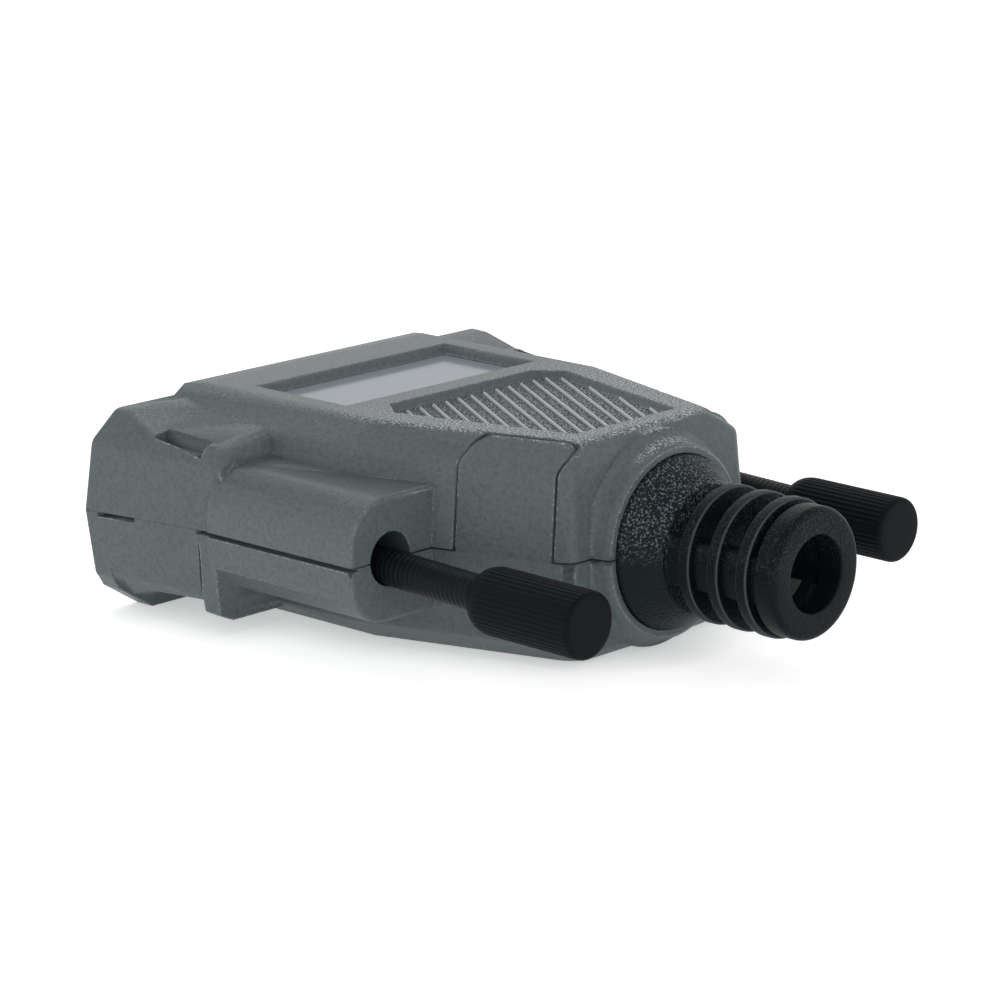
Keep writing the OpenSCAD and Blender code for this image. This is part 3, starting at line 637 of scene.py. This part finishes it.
boot = {
    "bore": 2.75, "endRadius": 4.7, "endLength": 1.8, "endRounds": (0.15, 0.5, 0.2), "endSteps": 6,
    "coneStart": 9.9, "rimStart": 12.4, "neckStart": 13.2, "inner": 15.55, "innerEnd": 16.85,
    "flangeRadius": 6.25, "neckRadius": 5.0, "innerRadius": 5.85, "rootRadius": 4.6,
    "flangeRounds": (0, 0.1, 0.25, 0.12, 0, 0, 0.1, 0.1), "closing": 0.01,
    "segmentRadius": 4.95, "segmentLength": 0.95, "segmentStep": 2.55, "segments": 3, "segmentRound": 0.18,
    "bridgeHalf": 1.7, "bridgeInner": 2.9, "bridgeRadius": 4.45, "bridgeRound": 0.3, "bridgeSteps": 6,
    "bridgeOverlap": 0.4, "columns": 144, "smoothUnder": 40,
}


def bridgeInto(form, side):
    # a block that joins the segments, with its outer face on a cylinder and its long edges rounded
    reach, half, inner, steps = [boot["bridge" + part] for part in ("Radius", "Half", "Inner", "Steps")]
    across = [half * (k / steps - 1) for k in range(2 * steps + 1)]
    outer = [(math.sqrt(reach ** 2 - z ** 2), z) for z in across]
    radii = [boot["bridgeRound"]] + [0] * (len(outer) - 2) + [boot["bridgeRound"]]
    outline = rounded([(inner, -half)] + outer + [(inner, half)], radii)
    ends = (boot["endLength"] / 2, boot["coneStart"] + boot["bridgeOverlap"])
    near, far = [[form.verts.new((side * x * mm, -z * mm, y * mm)) for x, z in outline] for y in ends]
    for k in range(len(outline)):
        n = (k + 1) % len(outline)
        form.faces.new((near[k], near[n], far[n], far[k]))
    form.faces.new(near[::-1])
    form.faces.new(far)


def makeBoot():
    form = bmesh.new()
    bore, end, length, columns = boot["bore"], boot["endRadius"], boot["endLength"], boot["columns"]
    latheInto(form, rounded([(length / 2, bore), (0, bore), (0, end), (length, end), (length, bore)],
                            boot["endRounds"], boot["endSteps"]), columns, True)
    flange, neck, inner = boot["flangeRadius"], boot["neckRadius"], boot["innerRadius"]
    close = bore + boot["closing"]
    latheInto(form, rounded(
        [(boot["innerEnd"], bore), (boot["coneStart"], bore), (boot["coneStart"], boot["rootRadius"]),
         (boot["rimStart"], flange), (boot["neckStart"], flange), (boot["neckStart"], neck),
         (boot["inner"], neck), (boot["inner"], inner), (boot["innerEnd"], inner), (boot["innerEnd"], close)],
        boot["flangeRounds"]), columns, True)
    outer, corner = boot["segmentRadius"], boot["segmentRound"]
    for k in range(1, boot["segments"] + 1):
        low = boot["coneStart"] - k * boot["segmentStep"]
        high = low + boot["segmentLength"]
        latheInto(form, rounded([(high, bore), (low, bore), (low, outer), (high, outer), (high, close)],
                                [0, corner, corner]), columns, True)
    for side in (-1, 1):
        bridgeInto(form, side)
    bmesh.ops.recalc_face_normals(form, faces=form.faces)
    mesh = evenlyShaded("cable_boot_moulding", form, boot["smoothUnder"], finishes["boot_rubber"])
    mesh.transform(Matrix.Translation((0, bootEnd, partLine)) @ Matrix.Rotation(math.radians(-90), 4, "X"))
    finished("cable_boot_moulding", mesh, "cable_boot")
    print("boot:", len(mesh.polygons), "faces")


makeBoot()

endBandMm = 0.35  # the points this near to an end of a node give the middle of that end


def axisOf(node):
    # the node's long axis from its rear end: a matrix that takes +Z there, and its length
    form = joinedCopy(node)
    points = [v.co.copy() for v in form.verts]
    form.free()
    low, high = min(p.y for p in points), max(p.y for p in points)
    ends = []
    for edge in (low, high):
        near = [p for p in points if abs(p.y - edge) < endBandMm * mm]
        ends.append(sum(near, Vector()) / len(near))
    way = (ends[1] - ends[0]).normalized()
    reach = [(p - ends[0]).dot(way) for p in points]
    turn = way.to_track_quat("Z", "Y").to_matrix().to_4x4()
    return Matrix.Translation(ends[0] + way * min(reach)) @ turn, max(reach) - min(reach)


def latheMesh(name, profile, columns):
    form = bmesh.new()
    latheInto(form, profile, columns, False)
    mesh = bpy.data.meshes.new(name)
    form.to_mesh(mesh)
    form.free()
    return mesh


leastRadius = 1e-7  # keeps a point on the axis from a division by nothing


def radialCut(tree, start, end, limit):
    # moves each point in to the radius given by limit, where that is less than its own
    place = addNode(tree, "GeometryNodeInputPosition").outputs[0]
    x, y, z = addNode(tree, "ShaderNodeSeparateXYZ", {0: place}).outputs
    flat = addNode(tree, "ShaderNodeCombineXYZ", {0: x, 1: y}).outputs[0]
    radius = addNode(tree, "ShaderNodeVectorMath", {0: flat}, operation="LENGTH").outputs["Value"]
    angle = addNode(tree, "ShaderNodeMath", {0: y, 1: x}, operation="ARCTAN2").outputs[0]
    least = addNode(tree, "ShaderNodeMath", {0: radius, 1: limit(angle, z)}, operation="MINIMUM").outputs[0]
    safe = addNode(tree, "ShaderNodeMath", {0: radius, 1: leastRadius}, operation="MAXIMUM").outputs[0]
    share = addNode(tree, "ShaderNodeMath", {0: least, 1: safe}, operation="DIVIDE").outputs[0]
    moved = addNode(tree, "ShaderNodeCombineXYZ", {0: allOf(tree, x, share), 1: allOf(tree, y, share), 2: z})
    cut = addNode(tree, "GeometryNodeSetPosition", {
        "Geometry": start.outputs["Geometry"], "Position": moved.outputs[0]})
    dressed = addNode(tree, "GeometryNodeSetMaterial", {
        "Geometry": cut.outputs[0], "Material": start.outputs["Material"]})
    tree.links.new(dressed.outputs[0], end.inputs["Geometry"])


rod = {
    "radius": 1.3, "pitch": 0.45, "rollDepth": 0.03, "tipDepth": 0.26, "rows": 9, "columns": 48, "tip": 0.4,
    "knobEnd": 5.0, "underKnob": 0.2, "groove": (18.61, 19.73), "grooveRadius": 1.05, "beforeGroove": 0.1,
    "behindGroove": 1.5, "pastTip": 1.0, "flank": (0.08, 0.4), "leastCut": 1e-4, "smoothUnder": 40,
}


def makeThreadGroup():
    # cuts a helical thread between two heights of a lathed rod
    tree, start, end = newNodesGroup("rolled thread", ("Crest Radius", "Depth", "Pitch", "From", "To"))
    pitch = start.outputs["Pitch"]

    def limit(angle, z):
        climb = addNode(tree, "ShaderNodeMath", {0: z, 1: pitch}, operation="DIVIDE").outputs[0]
        around = addNode(tree, "ShaderNodeMath", {0: angle, 1: 2 * math.pi}, operation="DIVIDE").outputs[0]
        turns = addNode(tree, "ShaderNodeMath", {0: climb, 1: around}, operation="SUBTRACT").outputs[0]
        within = addNode(tree, "ShaderNodeMath", {0: turns}, operation="FRACT").outputs[0]
        swing = addNode(tree, "ShaderNodeMath", {0: within, 1: 0.5}, operation="SUBTRACT").outputs[0]
        phase = addNode(tree, "ShaderNodeMath", {0: swing}, operation="ABSOLUTE").outputs[0]
        # flats at crest and root, straight flanks between
        groove = addNode(tree, "ShaderNodeMapRange", {"Value": phase, **runsOver(*rod["flank"])}).outputs[0]
        # the thread runs out within one pitch at each end
        ends = []
        for high, low in ((z, start.outputs["From"]), (start.outputs["To"], z)):
            apart = addNode(tree, "ShaderNodeMath", {0: high, 1: low}, operation="SUBTRACT").outputs[0]
            ends.append(addNode(tree, "ShaderNodeMath", {0: apart, 1: pitch}, operation="DIVIDE").outputs[0])
        nearest = addNode(tree, "ShaderNodeMath", {0: ends[0], 1: ends[1]}, operation="MINIMUM").outputs[0]
        inside = addNode(tree, "ShaderNodeClamp", {"Value": nearest}).outputs[0]
        sunk = allOf(tree, groove, start.outputs["Depth"], inside)
        crest = start.outputs["Crest Radius"]
        cut = addNode(tree, "ShaderNodeMath", {0: crest, 1: sunk}, operation="SUBTRACT").outputs[0]
        # outside the thread nothing is cut
        free = addNode(tree, "ShaderNodeMath", {0: inside, 1: rod["leastCut"]}, operation="LESS_THAN")
        return addNode(tree, "ShaderNodeMath", {0: cut, 1: free.outputs[0]}, operation="ADD").outputs[0]

    radialCut(tree, start, end, limit)
    return tree


def threadRows(low, high):
    # the rod's full radius at rows close enough to carve a thread in
    rows = int((high - low) / (rod["pitch"] / rod["rows"]))
    return [(low + i * (high - low) / rows, rod["radius"]) for i in range(rows + 1)]


def makeJackscrew(side):
    # a rod with a shallow rolled thread up to the clip's groove and the full thread in front of it
    node = "jackscrew_" + side
    place, length = axisOf(node)
    length /= mm
    grooveLow, grooveHigh = rod["groove"]
    profile = [(0, rod["radius"]), (rod["knobEnd"] - rod["underKnob"], rod["radius"])]
    profile += threadRows(rod["knobEnd"], grooveLow)
    profile += [(grooveLow, rod["grooveRadius"]), (grooveHigh, rod["grooveRadius"])]
    profile += threadRows(grooveHigh, length - rod["tip"])
    profile.append((length, rod["radius"] - rod["tip"]))
    source = addToScene(node + "_rod", latheMesh(node, profile, rod["columns"]))
    applyGroup(source, threadGroup, {
        "Crest Radius": rod["radius"] * mm, "Depth": rod["rollDepth"] * mm, "Pitch": rod["pitch"] * mm,
        "From": rod["knobEnd"] * mm, "To": (grooveLow - rod["beforeGroove"]) * mm,
        "Material": finishes["black_steel"]})
    applyGroup(source, threadGroup, {
        "Crest Radius": rod["radius"] * mm, "Depth": rod["tipDepth"] * mm, "Pitch": rod["pitch"] * mm,
        "From": (grooveHigh + rod["behindGroove"]) * mm, "To": (length + rod["pastTip"]) * mm,
        "Material": finishes["black_steel"]})
    mesh = throughModifiers(source)
    mesh.transform(place)
    smoothUnder(mesh, rod["smoothUnder"])
    finished(node + "_rod", mesh, node)


knob = {
    "radius": 2.4, "length": 9.6, "endRound": 0.38, "shoulder": 1.5, "neckRadius": 1.65, "flutes": 40.0,
    "depth": 0.06, "columns": 400, "boreRadius": 1.31, "boreDepth": 5.0, "faceRadii": (0.4, 1.2),
    "shoulderCurve": 2.2, "fluteWave": (0.5, -1.0), "smoothUnder": 40,
}


def makeKnurlGroup():
    # cuts rounded flutes along a lathed knob
    tree, start, end = newNodesGroup("straight knurl", ("Radius", "Depth", "Flutes"))

    def limit(angle, z):
        wave = addNode(tree, "ShaderNodeMath", {
            0: allOf(tree, angle, start.outputs["Flutes"])}, operation="COSINE").outputs[0]
        groove = addNode(tree, "ShaderNodeMapRange", {
            "Value": wave, **runsOver(*knob["fluteWave"])}).outputs[0]
        return addNode(tree, "ShaderNodeMath", {
            0: start.outputs["Radius"], 1: allOf(tree, groove, start.outputs["Depth"])},
            operation="SUBTRACT").outputs[0]

    radialCut(tree, start, end, limit)
    return tree


def makeKnob(side):
    # the lathed form of the knob with its far end rounded, then the knurl, then the rod's hole
    node = "knob_" + side
    radius, turn, full = knob["radius"], knob["endRound"], knob["length"]
    profile = [(0, r) for r in knob["faceRadii"]]
    profile += [(turn * (1 - math.cos(a)), radius - turn * (1 - math.sin(a)))
                for a in [math.radians(15 * k) for k in range(7)]]
    profile += [(full * k / 10, radius) for k in range(2, 8)]
    profile += [(full - knob["shoulder"] * (1 - k / 8),
                 knob["neckRadius"] + (radius - knob["neckRadius"])
                 * math.sqrt(max(0, 1 - (k / 8) ** knob["shoulderCurve"]))) for k in range(9)]
    profile += [(full, knob["boreRadius"]), (full - knob["boreDepth"], knob["boreRadius"])]
    source = addToScene(node + "_knurled", latheMesh(node, profile, knob["columns"]))
    applyGroup(source, knurlGroup, {
        "Radius": radius * mm, "Depth": knob["depth"] * mm, "Flutes": knob["flutes"],
        "Material": finishes["knob_plastic"]})
    mesh = throughModifiers(source)
    mesh.transform(axisOf(node)[0])
    smoothUnder(mesh, knob["smoothUnder"])
    finished(node + "_knurled", mesh, node)


makeRibs()
threadGroup = makeThreadGroup()
knurlGroup = makeKnurlGroup()
for side in ("left", "right"):
    makeJackscrew(side)
    makeKnob(side)
print("jackscrews and knobs made")

zincShading = 35  # degrees

# the pressed and turned steel keeps its form and gets even shading
for node in [name for name, slot in slotOf.items() if slot == "zinc_steel"]:
    name = node + "_plated"
    finished(name, evenlyShaded(name, joinedCopy(node), zincShading, finishes["zinc_steel"]), node)
print("zinc-plated parts shaded")

cameraView = {
    "place": (-0.20197, -0.1867, 0.07995), "azimuth": 46.57, "elevation": 14.49, "roll": -0.283,
    "lensMm": 141.32,
}


def placeCamera():
    azimuth = math.radians(cameraView["azimuth"])
    elevation = math.radians(cameraView["elevation"])
    roll = math.radians(cameraView["roll"])
    forward = Vector((math.sin(azimuth) * math.cos(elevation), math.cos(azimuth) * math.cos(elevation),
                      -math.sin(elevation)))
    right = Vector((math.cos(azimuth), -math.sin(azimuth), 0))
    up = right.cross(forward)
    rolledRight = right * math.cos(roll) + up * math.sin(roll)
    rolledUp = up * math.cos(roll) - right * math.sin(roll)
    lens = bpy.data.cameras.new("product camera")
    lens.lens = cameraView["lensMm"]
    lens.sensor_width = 36
    lens.clip_start = 0.01
    lens.clip_end = 20
    camera = bpy.data.objects.new("product_camera", lens)
    turn = Matrix((rolledRight, rolledUp, -forward)).transposed().to_4x4()
    camera.matrix_world = Matrix.Translation(cameraView["place"]) @ turn
    bpy.context.scene.collection.objects.link(camera)
    bpy.context.scene.camera = camera


placeCamera()

studio = {
    "floorSize": 6.0, "floorColour": "#f0f0f0", "floorLift": 0.44, "floorGlow": 0.25, "contactMm": 3.5,
    "contactShade": 0.6, "horizon": 1.05, "zenith": 0.4, "mirrored": 0.82,
    "lamps": {
        "key spot": {"place": (0.1, 0.16, 0.6), "size": 0.12, "power": 0.18},
        "back softbox": {"place": (0.3, 0.35, 0.4), "size": 0.5, "power": 0.2},
    },
}


def matWhiteTable():
    # matt white laminate; the camera sees it lifted to the backdrop's white, so only its shade shows
    material = bpy.data.materials.new("matt white table")
    material.use_nodes = True
    tree = material.node_tree
    tree.nodes.clear()
    paint = addNode(tree, "ShaderNodeBsdfDiffuse", {"Color": fromHex(studio["floorColour"])})
    # near the object the camera's lift is cut back by ambient occlusion: a painted contact shadow
    near = addNode(tree, "ShaderNodeAmbientOcclusion", {"Distance": studio["contactMm"] * mm}, samples=3)
    clear = addNode(tree, "ShaderNodeMapRange", {
        "Value": near.outputs["AO"], "To Min": 1 - studio["contactShade"]})
    seen = addNode(tree, "ShaderNodeLightPath").outputs["Is Camera Ray"]
    lift = addNode(tree, "ShaderNodeMath", {
        0: allOf(tree, seen, studio["floorLift"], clear.outputs[0]), 1: studio["floorGlow"]}, operation="ADD")
    glow = addNode(tree, "ShaderNodeEmission", {"Color": (1, 1, 1, 1), "Strength": lift.outputs[0]})
    both = addNode(tree, "ShaderNodeAddShader", {0: paint.outputs[0], 1: glow.outputs[0]})
    addNode(tree, "ShaderNodeOutputMaterial", {"Surface": both.outputs[0]})
    return material


def makeFloor():
    half = studio["floorSize"] / 2
    mesh = bpy.data.meshes.new("floor")
    corners = [(-half, -half, 0), (half, -half, 0), (half, half, 0), (-half, half, 0)]
    mesh.from_pydata(corners, [], [(0, 1, 2, 3)])
    mesh.materials.append(matWhiteTable())
    floor = addToScene("floor", mesh)


def makeSky():
    world = bpy.data.worlds.new("studio")
    bpy.context.scene.world = world
    world.use_nodes = True
    tree = world.node_tree
    tree.nodes.clear()
    # white for the camera; as a light and in mirrors it is bright round the horizon and dimmer overhead
    way = addNode(tree, "ShaderNodeNewGeometry").outputs["Incoming"]
    slope = addNode(tree, "ShaderNodeSeparateXYZ", {0: way}).outputs[2]
    steep = addNode(tree, "ShaderNodeMath", {0: slope}, operation="ABSOLUTE").outputs[0]
    dimmed = addNode(tree, "ShaderNodeMapRange", {
        "Value": steep, "To Min": studio["horizon"], "To Max": studio["zenith"]}).outputs[0]
    rays = addNode(tree, "ShaderNodeLightPath").outputs
    glossy = addNode(tree, "ShaderNodeMapRange", {
        "Value": rays["Is Glossy Ray"], "To Min": 1.0, "To Max": studio["mirrored"]}).outputs[0]
    strength = addNode(tree, "ShaderNodeMix", {
        "Factor": rays["Is Camera Ray"], 2: allOf(tree, dimmed, glossy), 3: 1.0}, data_type="FLOAT")
    sky = addNode(tree, "ShaderNodeBackground", {"Color": (1, 1, 1, 1), "Strength": strength.outputs[0]})
    addNode(tree, "ShaderNodeOutputWorld", {"Surface": sky.outputs[0]})


def makeLamp(name, lamp):
    light = bpy.data.lights.new(name, "AREA")
    light.shape = "DISK"
    light.size = lamp["size"]
    light.energy = lamp["power"]
    piece = bpy.data.objects.new(name, light)
    piece.location = lamp["place"]
    aim = Vector((0, 0, partLine)) - Vector(lamp["place"])
    piece.rotation_euler = aim.to_track_quat("-Z", "Y").to_euler()
    bpy.context.scene.collection.objects.link(piece)


makeFloor()
makeSky()
for name, lamp in studio["lamps"].items():
    makeLamp(name, lamp)
bpy.context.scene.view_settings.view_transform = "Standard"
print("studio set")
